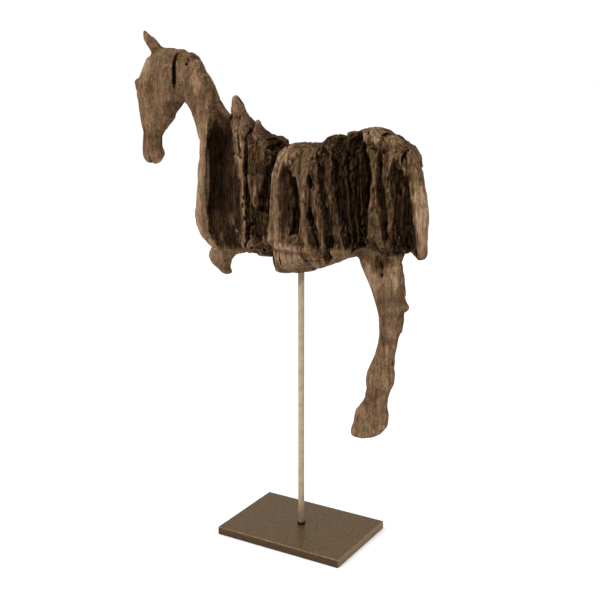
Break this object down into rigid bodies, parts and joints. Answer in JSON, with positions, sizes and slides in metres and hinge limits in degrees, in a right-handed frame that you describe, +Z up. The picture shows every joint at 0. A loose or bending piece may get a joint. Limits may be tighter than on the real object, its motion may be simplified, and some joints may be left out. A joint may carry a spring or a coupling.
{
  "type": "horse statue",
  "caption": "Weathered carved wooden horse with one remaining hind leg, carried level on a round steel rod over a flat rectangular steel base.",
  "frame": {"origin": "middle of the base plate's underside, on the rod's axis", "axes": "+Z up along the rod; the horse faces -X along the plate's long side, and its left side faces -Y"},
  "size_m": [0.4519, 0.14, 0.716],
  "materials": {
    "weathered_wood": "dry weathered brown wood, smooth on the head and leg and deeply eroded along the grain on the trunk",
    "bright_steel": "bare round steel with fine scratches",
    "black_rubber": "dull black",
    "dark_steel": "dark brown-grey steel plate, satin, with lighter worn edges"
  },
  "bodies": {
    "root": {"horse": "weathered_wood", "rod": "bright_steel", "rod_foot_ring": "black_rubber", "base_plate": "dark_steel"}
  },
  "joints": []
}
